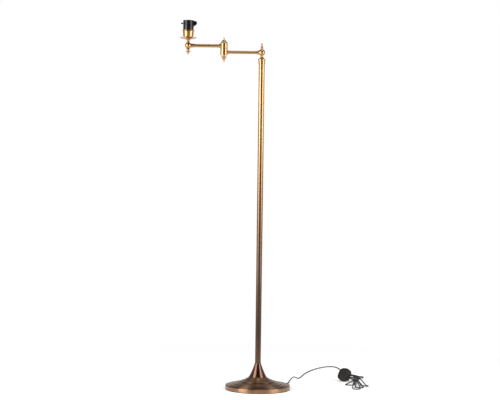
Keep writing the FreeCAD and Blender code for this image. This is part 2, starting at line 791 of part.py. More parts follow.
def lampholder(floor):
    """The moulded holder, which stands on the cup's floor."""
    end = -(S.inner_reach + S.outer_reach)
    hold = S.nipple_radius + S.thread_clearance
    top = S.holder_height
    ledge = top - S.socket_depth - 4
    body = new_body("lampholder_body", x=end, z=floor)
    turn(body, "holder_form", [
        (0, 0),
        (9.6, 0),
        (S.cup_low_radius - S.cup_sheet - 0.9, 8.6),
        (S.holder_radius - 0.3, S.cup_height - 3.4),
        (S.holder_radius, S.cup_height + 1),
        (S.holder_radius, top - 16.4),
        (S.holder_radius - 0.5, top - 16),
        (S.holder_radius - 0.5, top - 15.4),
        (S.holder_radius, top - 15),
        (S.holder_radius, top - 1.6),
        (S.holder_radius - 1.6, top, 1.6),
        (0, top),
    ])
    turn(body, "holder_mouth", [
        (0, ledge), (S.holder_bore, ledge), (S.holder_bore, top + 1), (0, top + 1),
    ], cut=True)
    turn(body, "terminal_room", [
        (0, 12.0), (S.terminal_radius, 12.0), (S.terminal_radius, ledge - S.holder_wall), (0, ledge - S.holder_wall),
    ], cut=True)
    bored(body, "holder_nipple_hole", hold, -1, 13)
    bored(body, "contact_hole", S.stud_radius + S.thread_clearance, ledge - S.holder_wall - 1, ledge + 1)
    rod = body.newObject("Sketcher::SketchObject", "switch_hole_outline")
    rod.AttachmentSupport = [(origin_plane(body, "YZ_Plane"), "")]
    rod.MapMode = "FlatFace"
    level = top - S.switch_drop
    rod.addGeometry(Part.Circle(Vector(S.switch_offset.value, level.value, 0), Vector(0, 0, 1),
                                (S.switch_radius + S.pivot_clearance).value), False)
    rod.addConstraint(Sketcher.Constraint("Radius", 0, (S.switch_radius + S.pivot_clearance).value))
    rod.addConstraint(Sketcher.Constraint("DistanceX", -1, 1, 0, 3, S.switch_offset.value))
    rod.addConstraint(Sketcher.Constraint("DistanceY", -1, 1, 0, 3, level.value))
    for index, (label, size) in enumerate((("radius", S.switch_radius + S.pivot_clearance),
                                           ("offset", S.switch_offset), ("level", level))):
        rod.renameConstraint(index, label)
        bind(rod, f"Constraints.{label}", size)
    hole = body.newObject("PartDesign::Pocket", "switch_hole")
    hole.Profile = rod
    hole.Midplane = True
    bind(hole, "Length", S.holder_radius * 2 + 2)
    cuts.append(hole)

    tube("screw_shell", S.socket_radius + S.socket_sheet, S.socket_radius,
         ledge + S.shell_foot, top - S.shell_sink, x=end, z=floor)
    block = new_body("contact_block", x=end, z=floor)
    turn(block, "block_form", [
        (S.stud_radius + S.thread_clearance, ledge),
        (S.socket_radius - 0.2, ledge),
        (S.socket_radius - 0.2, ledge + 2.4),
        (6.0, ledge + 3.2),
        (S.stud_radius + S.thread_clearance, ledge + 3.2),
    ])
    contact = new_body("centre_contact", x=end, z=floor)
    turn(contact, "contact_form", [
        (0, ledge - S.holder_wall - 2),
        (S.stud_radius, ledge - S.holder_wall - 2),
        (S.stud_radius, ledge + 3.2),
        (4.0, ledge + 3.2),
        (2.8, ledge + 4.6),
        (0, ledge + 4.8),
    ])

    bar = new_body("switch_bar", x=end, y=S.switch_offset, z=floor + level)
    neck = S.switch_knob * 0.9
    turn(bar, "bar_form", [
        (-S.switch_left - S.switch_knob, 0, S.switch_knob, "H_Axis"),
        (S.switch_right, 0),
        (S.switch_right, S.switch_radius),
        (-S.switch_left + neck, S.switch_radius),
    ], "H_Axis")

    hood = new_body("switch_hood", x=end, z=floor)
    middle = -(S.switch_offset - 4.7)
    reach = S.hood_reach
    pad(hood, "hood_form", [
        (8.0, top - 24),
        (reach - 13.5, top - 24),
        (reach - 9.5, top - 19.5),
        (reach - 1.4, top - 14),
        (reach, top - 10.4, 4.6),
        (reach - 0.6, top - 6),
        (reach - 4.6, top - 2.8, 5.0),
        (reach - 12, top - 1.2),
        (8.0, top - 1.2),
    ], S.hood_width, "XZ_Plane", middle, True)
    pad(hood, "hood_room", [
        (8.0, top - 30),
        (reach - 3, top - 30),
        (reach - 3, top - 10),
        (reach - 5.6, top - 7.6),
        (8.0, top - 7.6),
    ], S.hood_width - S.hood_wall * 2, "XZ_Plane", middle, True, True)
    bored(hood, "hood_seat", S.holder_radius + S.thread_clearance, top - 40, top + 5)


# ---------------------------------------------------------------- flex inside the lamp


def inner_flex():
    """The flex in the stand and in each arm. It is parted at the two pivots, where it only twists."""
    low, high = arm_levels()
    turned = math.radians(S.outlet_angle.value)
    out = Vector(math.cos(turned), math.sin(turned), 0)
    rim = S.base_radius.value - 2.0
    radius = S.flex_radius.value
    level, bend = S.flex_height.value, S.flex_bend.value
    top = low.value - S.ball_radius.value + S.ball_wall.value + 1.5
    path = [
        Part.LineSegment(out * rim + Vector(0, 0, level), out * bend + Vector(0, 0, level)).toShape(),
        Part.Arc(out * bend + Vector(0, 0, level),
                 out * bend * (1 - math.sqrt(0.5)) + Vector(0, 0, level + bend * (1 - math.sqrt(0.5))),
                 Vector(0, 0, level + bend)).toShape(),
        Part.LineSegment(Vector(0, 0, level + bend), Vector(0, 0, top)).toShape(),
    ]
    pipe("stand_flex", path, radius)

    drop = S.arm_radius.value - S.arm_wall.value - radius - S.flex_seat.value
    knuckle_x = -S.inner_reach.value
    pipe("inner_arm_flex", [
        Part.LineSegment(Vector(-3.5, 0, low.value - drop), Vector(knuckle_x, 0, low.value - drop)).toShape(),
    ], radius)

    drop = S.outer_arm_radius.value - S.arm_wall.value - radius - S.flex_seat.value
    line = high.value - drop
    end_x = knuckle_x - S.outer_reach.value
    tight = 5.5
    half = tight * (1 - math.sqrt(0.5))
    lift = high.value + S.riser_height.value + S.pan_sheet.value + 16
    foot = low.value + S.barrel_above.value - S.barrel_wall.value - 5
    pipe("outer_arm_flex", [
        Part.LineSegment(Vector(knuckle_x, 0, foot), Vector(knuckle_x, 0, line - tight)).toShape(),
        Part.Arc(Vector(knuckle_x, 0, line - tight), Vector(knuckle_x - half, 0, line - half),
                 Vector(knuckle_x - tight, 0, line)).toShape(),
        Part.LineSegment(Vector(knuckle_x - tight, 0, line), Vector(end_x + tight, 0, line)).toShape(),
        Part.Arc(Vector(end_x + tight, 0, line), Vector(end_x + half, 0, line + half),
                 Vector(end_x, 0, line + tight)).toShape(),
        Part.LineSegment(Vector(end_x, 0, line + tight), Vector(end_x, 0, lift)).toShape(),
    ], radius)


def pipe(label, edges, radius):
    wire = Part.Wire(edges)
    start = edges[0].valueAt(edges[0].FirstParameter)
    way = edges[0].tangentAt(edges[0].FirstParameter)
    section = Part.Wire([Part.Edge(Part.Circle(start, way, radius))])
    piece = doc.addObject("Part::Feature", label)
    piece.Label = label
    piece.Shape = wire.makePipeShell([section], True, False)
    pieces.append(piece)
    return piece


# ---------------------------------------------------------------- flex on the floor and mains plug


def plug_placement():
    """The plug lies on its lower side edge and on the tip of the pin next to that edge."""
    half = S.plug_width.value / 2
    lean = math.atan2(S.line_length.value, half - S.pin_pitch.value / 2 - S.line_wide.value / 2)
    facing = math.radians(-134.4)
    flat = Vector(math.cos(facing), math.sin(facing), 0)
    up = Vector(0, 0, 1)
    normal = flat * math.sin(lean) + up * math.cos(lean)
    climb = up * math.sin(lean) - flat * math.cos(lean)
    side = normal.cross(climb)
    turned = Rotation(climb, side, normal, "ZXY")
    edge = Vector(335.6, 213.5, 0)
    return Placement(edge + climb * half, turned), climb, side, normal


def plug():
    where, climb, side, normal = plug_placement()
    half = S.plug_width / 2
    corner = S.plug_corner
    face = [
        (half - corner, -half), (half, -half + corner, corner),
        (half, half - corner), (half - corner, half, corner),
        (-half + corner, half), (-half, half - corner, corner),
        (-half, -half + corner), (-half + corner, -half, corner),
    ]
    base_part = new_body("plug_base")
    base_part.Placement = where
    pad(base_part, "plug_base_form", face, S.plug_base_depth)
    cover = new_body("plug_cover")
    cover.Placement = where
    shell = pad(cover, "plug_cover_form", face, S.plug_cover_depth, "XY_Plane", S.plug_base_depth)
    doc.recompute()
    top = (S.plug_base_depth + S.plug_cover_depth).value
    edges = [f"Edge{i}" for i, e in enumerate(shell.Shape.Edges, start=1)
             if all(abs(v.Point.z - top) < 1e-4 for v in e.Vertexes)]
    round_edge = cover.newObject("PartDesign::Fillet", "plug_cover_round")
    round_edge.Base = (shell, edges)
    bind(round_edge, "Radius", S.plug_round)

    earth_y = S.pin_pitch - 9.2
    for label, x, y, wide, thick, long in (
        ("plug_pin_earth", as_size(0), earth_y, S.pin_thick, S.earth_wide, S.earth_length),
        ("plug_pin_line", S.pin_pitch / 2, as_size(-9.2), S.line_wide, S.pin_thick, S.line_length),
        ("plug_pin_neutral", -S.pin_pitch / 2, as_size(-9.2), S.line_wide, S.pin_thick, S.line_length),
    ):
        pin = new_body(label)
        pin.Placement = where
        pad(pin, label + "_form", [
            (x - wide / 2, y - thick / 2), (x + wide / 2, y - thick / 2),
            (x + wide / 2, y + thick / 2), (x - wide / 2, y + thick / 2),
        ], long, "XY_Plane", -long)
        doc.recompute()

    grommet = new_body("plug_grommet")
    middle = (S.plug_base_depth + S.plug_cover_depth) / 2
    out = -side
    spin = Rotation(normal, climb, out, "ZXY")
    mouth = where.Base + normal * middle.value + out * half.value
    grommet.Placement = Placement(mouth, spin)
    bore = S.flex_radius
    turn(grommet, "plug_grommet_form", [
        (0, 0), (bore + 2.2, 0), (bore + 2.2, 2.5), (bore + 1.0, S.grommet_length), (0, S.grommet_length),
    ])
    return mouth + out * S.grommet_length.value, out


def outlet():
    """The grommet where the flex leaves the base's rim, and the point and the way it leaves by."""
    turned = math.radians(S.outlet_angle.value)
    out = Vector(math.cos(turned), math.sin(turned), 0)
    grommet = new_body("flex_grommet")
    start = S.base_radius.value - 2.0
    level = S.flex_height.value
    spin = Rotation(Vector(0, 0, 1).cross(out), Vector(0, 0, 1), out, "ZXY")
    grommet.Placement = Placement(out * start + Vector(0, 0, level), spin)
    long = S.outlet_length + 2.0
    turn(grommet, "flex_grommet_form", [
        (0, 0), (S.outlet_radius - 0.4, 0), (S.outlet_radius - 0.4, 2.1), (S.outlet_radius + 0.8, 2.1),
        (S.outlet_radius + 0.8, 3.6), (S.flex_radius + 0.8, long), (0, long),
    ])
    return out * (start + long.value) + Vector(0, 0, level), out


def free_flex(start, start_way, stop, stop_way):
    """The flex on the floor: out of the base, in a long bow to the hank, and from the hank to the plug."""
    radius = S.flex_radius.value
    floor = radius
    first = start + start_way * 14
    bow = [
        tuple(start), tuple(first),
        (119.0, 136.0, floor + 1.0),
        (122.0, 172.0, floor),
        (127.0, 210.0, floor),
        (138.0, 230.0, 12.0),
        (147.0, 240.0, 12.0),
        (161.0, 259.0, floor),
        (173.0, 303.0, floor),
        (184.0, 362.0, floor),
        (198.0, 420.0, floor),
        (216.0, 476.0, floor),
        (240.0, 530.0, floor),
        (268.0, 579.0, floor),
        (298.0, 608.0, floor),
        (325.0, 601.0, floor),
        (336.0, 562.0, floor),
        (343.0, 508.0, floor),
        (352.0, 456.0, floor),
        (367.0, 412.0, floor),
        (384.0, 377.0, floor),
    ]
    hank = hank_points(floor)
    start = Vector(*hank[0])
    bow.append(tuple(start - (Vector(*hank[1]) - start).normalize() * 34))
    bow.append(hank[0])
    swept("flex_bow", bow, radius)
    _, wound = swept("flex_hank", hank, radius)
    print(f"least gap of the hank to itself {self_gap(wound, radius):.2f}")
    hank_tie(floor)
    start = Vector(*hank[-1])
    tail = [
        hank[-1],
        tuple(start + (start - Vector(*hank[-2])).normalize() * 14),
        (401.0, 164.0, 18.0),
        tuple(stop + stop_way * 12.5),
        tuple(stop),
    ]
    swept("flex_tail", tail, radius)


def hank_points(floor):
    """The hank's loops: strands through the tie, joined by folds that fan out on both sides of it."""
    middle = Vector(S.hank_x.value, S.hank_y.value, 0)
    step = S.hank_step.value
    upper = floor + S.hank_layer.value
    lifted = S.tie_thick.value + 0.3

    def at(near, across, height):
        """A point so far from the tie towards the front, and so far to the right of it."""
        return (middle.x + across, middle.y - near, height)

    # for each strand: its place in the tie in steps, its height, and the fold after it, by the fold's
    # distance in front of the tie, its middle, its half width to the side that it starts on, and the
    # heights at its two corners
    strands = [
        (1.5, floor, 190, 1.8, 15.5, floor, floor),
        (0.5, floor, -75, -5.4, 18.0, floor, floor),
        (-0.5, floor, 128, -31.4, 18.2, floor, floor),
        (-1.5, floor, -100, -19.7, -18.0, floor, upper),
        (-1.0, upper, 235, -12.0, -15.5, floor + 1.6, floor + 1.6),
        (0.0, upper, -62, 19.3, -16.5, upper, upper),
        (1.0, upper, 177, 23.3, -16.3, upper + 0.9, upper - 1.2),
    ]
    through = 9
    points = [at(-75, 18.8, floor), at(-42, 19.8, floor)]
    heading = 1
    for place, height, near, fold_middle, half, first, second in strands:
        points.append(at(-through * heading, place * step, height + lifted))
        points.append(at(through * heading, place * step, height + lifted))
        drops = first < height
        if drops:
            points.append(at(near * S.hank_drop.value, fold_middle + half * 0.9, height + 0.4))
        points.append(at(near, fold_middle + half, first))
        points.append(at(near, fold_middle - half, second))
        if drops:
            points.append(at(near * S.hank_drop.value, fold_middle - half * 0.9, height + 0.4))
        if near < 0 < fold_middle:
            points.append(at(near / 2, fold_middle - half * 0.6, height))
        heading = -heading
    points += [at(140, 31.0, floor + 1), at(112, 29.0, floor + 1)]
    return points


def self_gap(wire, radius):
    """The least space between stretches of one wire that are well apart along it."""
    spacing = 2.5
    points = wire.discretize(Distance=spacing)
    apart = int(math.pi * radius * 4 / spacing)
    least = min((points[i] - points[k]).Length for i in range(len(points)) for k in range(i + apart, len(points)))
    return least - 2 * radius


def hank_tie(floor):
    """A band round the hank's waist, under the flex and over it."""
    tie = new_body("hank_tie", x=S.hank_x, y=S.hank_y, rotation=Rotation(Vector(1, 0, 0), 90))
    half = S.hank_step * 1.5 + S.flex_radius + 1.4
    high = S.flex_radius * 2 + S.hank_layer + S.tie_thick + 0.7
    thick = S.tie_thick
    corner = S.flex_radius
    pad(tie, "tie_band", [
        (half + thick - corner, 0), (half + thick, corner, corner),
        (half + thick, high + thick - corner), (half + thick - corner, high + thick, corner),
        (-half - thick + corner, high + thick), (-half - thick, high + thick - corner, corner),
        (-half - thick, corner), (-half - thick + corner, 0, corner),
    ], S.tie_width, "XY_Plane", 0, True)
    within = corner - thick
    pad(tie, "tie_room", [
        (half - within, thick), (half, thick + within, within),
        (half, high - within), (half - within, high, within),
        (-half + within, high), (-half, high - within, within),
        (-half, thick + within), (-half + within, thick, within),
    ], S.tie_width * 2, "XY_Plane", 0, True, True)


# ---------------------------------------------------------------- build

base()
column()
column_head()
knuckle()
holder_floor = outer_end()
lampholder(holder_floor)
inner_flex()
leave_base, base_way = outlet()
plug_mouth, plug_way = plug()
free_flex(leave_base, base_way, plug_mouth, plug_way)
doc.recompute()

for thing in doc.Objects:
    if "Invalid" in thing.State or "Error" in thing.State:
        raise RuntimeError(f"{thing.Name} failed: {thing.State}")
for feature in cuts:
    if feature.Shape.Volume > feature.BaseFeature.Shape.Volume - 1e-3:
        raise RuntimeError(f"{feature.Name} cuts nothing")
for piece in pieces:
    if piece.Shape.isNull() or not piece.Shape.isValid():
        raise RuntimeError(f"{piece.Label} has no valid shape")

os.makedirs("parts", exist_ok=True)
for piece in pieces:
    piece.Shape.exportStep(os.path.join("parts", piece.Label + ".step"))
print(len(pieces), "pieces written")
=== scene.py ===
# %% [markdown]
# # A bridge floor lamp
# A weighted round base carries a tall brass column. Two short arms swing one above the other
# from the top of the column, and the outer one carries an upright lampholder. The solid parts
# come from the construction model and stay exactly where it has them. This file gives them
# their finishes, lays the flex on the floor, and sets up the studio.

# %% Load the solid parts
import json
import math

import bmesh
import bpy
from mathutils import Matrix, Quaternion, Vector


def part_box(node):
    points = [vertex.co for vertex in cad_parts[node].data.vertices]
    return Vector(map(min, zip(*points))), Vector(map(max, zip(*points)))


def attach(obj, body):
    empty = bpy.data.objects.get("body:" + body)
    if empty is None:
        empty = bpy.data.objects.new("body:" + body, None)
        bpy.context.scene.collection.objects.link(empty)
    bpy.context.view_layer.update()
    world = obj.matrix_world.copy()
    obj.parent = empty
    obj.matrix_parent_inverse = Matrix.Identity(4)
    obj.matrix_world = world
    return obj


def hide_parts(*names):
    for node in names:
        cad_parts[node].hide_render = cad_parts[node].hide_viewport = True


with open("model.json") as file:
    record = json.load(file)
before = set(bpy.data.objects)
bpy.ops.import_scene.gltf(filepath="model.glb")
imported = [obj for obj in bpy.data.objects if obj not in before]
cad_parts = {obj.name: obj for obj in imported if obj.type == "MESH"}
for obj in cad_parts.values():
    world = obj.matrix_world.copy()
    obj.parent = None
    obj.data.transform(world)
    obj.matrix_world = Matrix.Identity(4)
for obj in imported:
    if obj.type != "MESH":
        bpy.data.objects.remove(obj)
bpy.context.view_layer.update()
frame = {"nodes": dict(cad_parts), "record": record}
nodes = frame["nodes"]

# %% [markdown]
# ## The camera
# The photograph was taken from almost six metres away with a long lens, a little above the
# middle of the lamp, and it leans by less than one degree. A camera made with these real
# distances gives the same flat ellipses at the base and at the cup. The other way would be to
# tune the picture by eye, but then the perspective would be wrong from base to top.

# %% Camera
CAMERA_SIDE = -0.0375
CAMERA_DISTANCE = 5.7
CAMERA_HEIGHT = 0.9
AIM_HEIGHT = 0.712
CAMERA_ROLL = math.radians(0.73)
SENSOR_WIDTH = 36.0
LENS = 109.44


def look_from(place, aim, roll=0.0):
    """The turn of an object at place whose -Z points at aim."""
    turned = (Vector(aim) - Vector(place)).to_track_quat("-Z", "Y")
    return (turned @ Quaternion((0, 0, 1), roll)).to_euler()


camera_data = bpy.data.cameras.new("photo_camera")
camera_data.sensor_width = SENSOR_WIDTH
camera_data.lens = LENS
camera = bpy.data.objects.new("photo_camera", camera_data)
camera.location = (CAMERA_SIDE, -CAMERA_DISTANCE, CAMERA_HEIGHT)
camera.rotation_euler = look_from(camera.location, (CAMERA_SIDE, 0, AIM_HEIGHT), CAMERA_ROLL)
bpy.context.collection.objects.link(camera)
bpy.context.scene.camera = camera
print(f"camera {CAMERA_DISTANCE} m away, lens {LENS} mm")

# %% [markdown]
# ## The route of the flex
# The flex leaves the foot of the base, crosses the floor in a long bow, rises over a low hump
# where it still remembers its packing, and ends in a tied hank beside the plug. It is one length
# of round cable, so it is one curve. The curve passes near listed points and rounds them
# off smoothly, as a cable does, where joined straight runs and arcs would look like bent wire.

# %% Route across the floor
FLEX_RADIUS = 0.002
FLEX_HEIGHT = 0.0075
OUTLET_REACH = 0.1345
OUTLET_ANGLE = math.radians(42)
FLOOR_LINE = FLEX_RADIUS

outlet_way = Vector((math.cos(OUTLET_ANGLE), math.sin(OUTLET_ANGLE), 0))
flex_exit = outlet_way * OUTLET_REACH + Vector((0, 0, FLEX_HEIGHT))
bow = [
    flex_exit,
    flex_exit + outlet_way * 0.014,
    (0.119, 0.136, 0.003),
    (0.122, 0.172, FLOOR_LINE),
    (0.127, 0.210, FLOOR_LINE),
    (0.138, 0.230, 0.012),
    (0.147, 0.240, 0.012),
    (0.161, 0.259, FLOOR_LINE),
    (0.173, 0.303, FLOOR_LINE),
    (0.184, 0.362, FLOOR_LINE),
    (0.198, 0.420, FLOOR_LINE),
    (0.216, 0.476, FLOOR_LINE),
    (0.240, 0.530, FLOOR_LINE),
    (0.268, 0.579, FLOOR_LINE),
    (0.298, 0.608, FLOOR_LINE),
    (0.325, 0.601, FLOOR_LINE),
    (0.336, 0.562, FLOOR_LINE),
    (0.343, 0.508, FLOOR_LINE),
    (0.352, 0.456, FLOOR_LINE),
    (0.367, 0.412, FLOOR_LINE),
    (0.384, 0.377, FLOOR_LINE),
]
print("flex leaves the base at", [round(v, 4) for v in flex_exit])

# %% [markdown]
# ## The hank
# The rest of the flex is folded into a hank. Its strands pass side by side through a tie, in two
# layers, and the folds between them fan out, each at its own distance, as they do where nothing
# holds them. Each fold has two corners and a tip, because a fold with only two corners would
# bend the flex more tightly than it likes. A table with a row for each strand and the fold
# after it says how they lie, and a loop turns the rows into points.

# %% Measures of the hank
HANK_MIDDLE = Vector((0.3862, 0.240, 0))
HANK_STEP = 0.0048
UPPER_LINE = FLOOR_LINE + 0.0049
TIE_LIFT = 0.0012
TIE_HALF = 0.009
HANK_DROP = 0.87
DROP_WIDTH = 0.9
DROP_LIFT = 0.0004
SHORT_FOLD = 0.07
RETURN_WIDTH = 0.6
BELLY = 0.0012
CORNER_BACK = 0.42
TIP_OUT = 0.155
SHOULDER_BACK = 1.6


def in_hank(near, across, height):
    """A point so far from the tie towards the front, and so far to the right of it."""
    return HANK_MIDDLE + Vector((across, -near, height))


# %% Strands and folds
# its place in the tie in steps, its height, and the fold after it: distance in front of the tie,
# middle, half width to the side that it starts on, and the heights at its two corners
strands = [
    (1.5, FLOOR_LINE, 0.190, 0.0018, 0.0155, FLOOR_LINE, FLOOR_LINE),
    (0.5, FLOOR_LINE, -0.075, -0.0054, 0.0180, FLOOR_LINE, FLOOR_LINE),
    (-0.5, FLOOR_LINE, 0.128, -0.0314, 0.0182, FLOOR_LINE, FLOOR_LINE),
    (-1.5, FLOOR_LINE, -0.100, -0.0197, -0.0180, FLOOR_LINE, UPPER_LINE),
    (-1.0, UPPER_LINE, 0.235, -0.0120, -0.0155, FLOOR_LINE + 0.0016, FLOOR_LINE + 0.0016),
    (0.0, UPPER_LINE, -0.062, 0.0193, -0.0165, UPPER_LINE, UPPER_LINE),
    (1.0, UPPER_LINE, 0.177, 0.0233, -0.0163, UPPER_LINE + 0.0009, UPPER_LINE - 0.0012),
]
print(len(strands), "strands")


# %% Points of a fold
def shoulder(place, near, corner, half, height):
    """A point on a strand, a little before its fold, where the strand still bellies out."""
    share = 1 - SHOULDER_BACK * abs(half) / abs(near)
    across = place * HANK_STEP + (corner - place * HANK_STEP) * share
    return in_hank(near * share, across + math.copysign(BELLY, corner), height)


def eased(points):
    """The points, with one more on each run that is over twice as long as the run past its corner."""
    made = [points[0]]
    for before, corner, after in zip(points, points[1:], points[2:]):
        to_before, to_after = before - corner, after - corner
        if to_before.length > 2 * to_after.length:
            made.append(corner + to_before.normalized() * to_after.length)
        made.append(corner)
        if to_after.length > 2 * to_before.length:
            made.append(corner + to_after.normalized() * to_before.length)
    return made + [points[-1]]


# %% Turn the rows into points
RUN_IN = 0.034

hank = [in_hank(-0.075, 0.0188, FLOOR_LINE), in_hank(-0.042, 0.0198, FLOOR_LINE)]
heading = 1
next_places = [row[0] for row in strands[1:]] + [None]
for (place, height, near, fold_middle, half, first, second), next_place in zip(strands, next_places):
    hank.append(in_hank(-TIE_HALF * heading, place * HANK_STEP, height + TIE_LIFT))
    hank.append(in_hank(TIE_HALF * heading, place * HANK_STEP, height + TIE_LIFT))
    drops = first < height
    if drops:
        hank.append(in_hank(near * HANK_DROP, fold_middle + half * DROP_WIDTH, height + DROP_LIFT))
    elif abs(near) > SHORT_FOLD:
        hank.append(shoulder(place, near, fold_middle + half, half, max(height, first)))
    wide = math.copysign(half, near)
    hank.append(in_hank(near - CORNER_BACK * wide, fold_middle + half, first))
    hank.append(in_hank(near + TIP_OUT * wide, fold_middle, (first + second) / 2))
    hank.append(in_hank(near - CORNER_BACK * wide, fold_middle - half, second))
    if not drops and abs(near) > SHORT_FOLD and next_place is not None:
        hank.append(shoulder(next_place, near, fold_middle - half, half, second))
    if drops:
        hank.append(in_hank(near * HANK_DROP, fold_middle - half * DROP_WIDTH, height + DROP_LIFT))
    if near < 0 < fold_middle:
        hank.append(in_hank(near / 2, fold_middle - half * RETURN_WIDTH, height))
    heading = -heading
hank += [in_hank(0.140, 0.031, FLOOR_LINE + 0.001), in_hank(0.112, 0.029, FLOOR_LINE + 0.001)]
hank = eased(hank)
bow.append(hank[0] - (hank[1] - hank[0]).normalized() * RUN_IN)
print(len(hank), "points in the hank")

# %% [markdown]
# ## The plug's place
# The plug has fallen on its side: it rests on one side edge and on the tip of the pin next to
# that edge. Three directions describe it: out of its back, up along its face, and sideways to
# its cable entry. The same three place everything that belongs to the plug.

# %% Directions of the plug
PLUG_WIDTH = 0.051
PLUG_DEPTH = 0.021
PIN_PITCH = 0.0222
PIN_WIDTH = 0.00635
PIN_LENGTH = 0.0177
RELIEF_LENGTH = 0.014
PLUG_FACING = math.radians(-134.4)
PLUG_EDGE = Vector((0.3356, 0.2135, 0))
RUN_OUT = 0.020
STRAIGHT_IN = 0.0125

lean = math.atan2(PIN_LENGTH, PLUG_WIDTH / 2 - PIN_PITCH / 2 - PIN_WIDTH / 2)
level_way = Vector((math.cos(PLUG_FACING), math.sin(PLUG_FACING), 0))
plug_back = level_way * math.sin(lean) + Vector((0, 0, math.cos(lean)))
plug_climb = Vector((0, 0, math.sin(lean))) - level_way * math.cos(lean)
entry_way = -plug_back.cross(plug_climb)
plug_middle = PLUG_EDGE + plug_climb * (PLUG_WIDTH / 2)
entry = plug_middle + plug_back * (PLUG_DEPTH / 2) + entry_way * (PLUG_WIDTH / 2)
mouth = entry + entry_way * RELIEF_LENGTH
tail_way = (hank[-1] - hank[-2]).normalized()
tail = [hank[-1] + tail_way * RUN_OUT, (0.401, 0.164, 0.018), mouth + entry_way * STRAIGHT_IN, mouth]
print("plug leans by", round(math.degrees(lean), 1), "degrees; its relief ends at", mouth)

# %% [markdown]
# ## One flex
# A flex is one length from end to end, so it is one curve. Separate curves for the bow, the hank
# and the tail would show their joints.


def cable(name, points, radius):
    """A round cable on one smooth spline."""
    curve = bpy.data.curves.new(name, "CURVE")
    curve.dimensions = "3D"
    curve.bevel_depth = radius
    curve.bevel_resolution = 5
    curve.resolution_u = 10
    curve.use_fill_caps = True
    spline = curve.splines.new("NURBS")
    spline.points.add(len(points) - 1)
    for control, point in zip(spline.points, points):
        control.co = (*point, 1)
    spline.order_u = 3
    spline.use_endpoint_u = True
    piece = bpy.data.objects.new(name, curve)
    bpy.context.collection.objects.link(piece)
    return piece


flex = cable("mains_flex", bow + hank + tail, FLEX_RADIUS)
print("one spline of", len(bow + hank + tail), "points")

# %% [markdown]
# ## Helpers for materials
# A finish on a real lamp is never one colour: lacquer is cloudy and specked, plastic has a
# grain, and turned metal has fine rings. Each of these effects is a node group, built once and
# placed in a material with its own values.

# %% Material helpers
def node(tree, kind, **values):
    """A new node in a tree, with inputs or settings by name."""
    made = tree.nodes.new(kind)
    for name, value in values.items():
        setattr(made, name, value)
    return made


def group_tree(name, inputs, outputs):
    """An empty node group with named number or vector sockets."""
    tree = bpy.data.node_groups.new(name, "ShaderNodeTree")
    for label, kind in inputs:
        tree.interface.new_socket(label, in_out="INPUT", socket_type=kind)
    for label, kind in outputs:
        tree.interface.new_socket(label, in_out="OUTPUT", socket_type=kind)
    return tree, tree.nodes.new("NodeGroupInput"), tree.nodes.new("NodeGroupOutput")


def placed(tree, group, **values):
    """A node group placed in a material."""
    made = tree.nodes.new("ShaderNodeGroup")
    made.node_tree = group
    for name, value in values.items():
        made.inputs[name.replace("_", " ")].default_value = value
    return made


def finish_of(name, color, metallic, roughness):
    """A new material: its tree, its shader and its Object coordinates."""
    material = bpy.data.materials.new(name)
    material.use_nodes = True
    tree = material.node_tree
    shader = tree.nodes["Principled BSDF"]
    shader.inputs["Base Color"].default_value = (*color, 1)
    shader.inputs["Metallic"].default_value = metallic
    shader.inputs["Roughness"].default_value = roughness
    place = node(tree, "ShaderNodeTexCoord").outputs["Object"]
    return material, tree, shader, place


def bump(tree, shader, height, strength, distance):
    """A height joined to the shader through a Bump node."""
    made = node(tree, "ShaderNodeBump")
    made.inputs["Strength"].default_value = strength
    made.inputs["Distance"].default_value = distance
    tree.links.new(height, made.inputs["Height"])
    tree.links.new(made.outputs["Normal"], shader.inputs["Normal"])


def spread(tree, factor, low, high):
    """A 0 to 1 factor spread from low to high."""
    made = node(tree, "ShaderNodeMapRange")
    made.inputs["To Min"].default_value = low
    made.inputs["To Max"].default_value = high
    tree.links.new(factor, made.inputs["Value"])
    return made.outputs["Result"]


def tinted(tree, factor, dark, light):
    """A colour between dark and light."""
    made = node(tree, "ShaderNodeMix", data_type="RGBA")
    colors = [socket for socket in made.inputs if socket.type == "RGBA"]
    colors[0].default_value = (*dark, 1)
    colors[1].default_value = (*light, 1)
    tree.links.new(factor, made.inputs["Factor"])
    return [socket for socket in made.outputs if socket.type == "RGBA"][0]


def toward(tree, mask, color, other, most):
    """A linked colour drawn towards another where a mask is up, by so much at most."""
    made = node(tree, "ShaderNodeMix", data_type="RGBA")
    colors = [socket for socket in made.inputs if socket.type == "RGBA"]
    tree.links.new(color, colors[0])
    colors[1].default_value = (*other, 1)
    tree.links.new(spread(tree, mask, 0.0, most), made.inputs["Factor"])
    return [socket for socket in made.outputs if socket.type == "RGBA"][0]


# %% Shared effect: cloudy lacquer
clouds, clouds_in, clouds_out = group_tree(
    "cloudy_lacquer",
    [("Place", "NodeSocketVector"), ("Cloud Size", "NodeSocketFloat"), ("Speck Size", "NodeSocketFloat")],
    [("Cloud", "NodeSocketFloat"), ("Speck", "NodeSocketFloat")],
)
for label in ("Cloud", "Speck"):
    per_metre = node(clouds, "ShaderNodeMath", operation="DIVIDE")
    per_metre.inputs[0].default_value = 1.0
    clouds.links.new(clouds_in.outputs[label + " Size"], per_metre.inputs[1])
    noise = node(clouds, "ShaderNodeTexNoise")
    noise.inputs["Detail"].default_value = 4.0
    clouds.links.new(clouds_in.outputs["Place"], noise.inputs["Vector"])
    clouds.links.new(per_metre.outputs[0], noise.inputs["Scale"])
    clouds.links.new(noise.outputs["Fac"], clouds_out.inputs[label])
print("group", clouds.name)
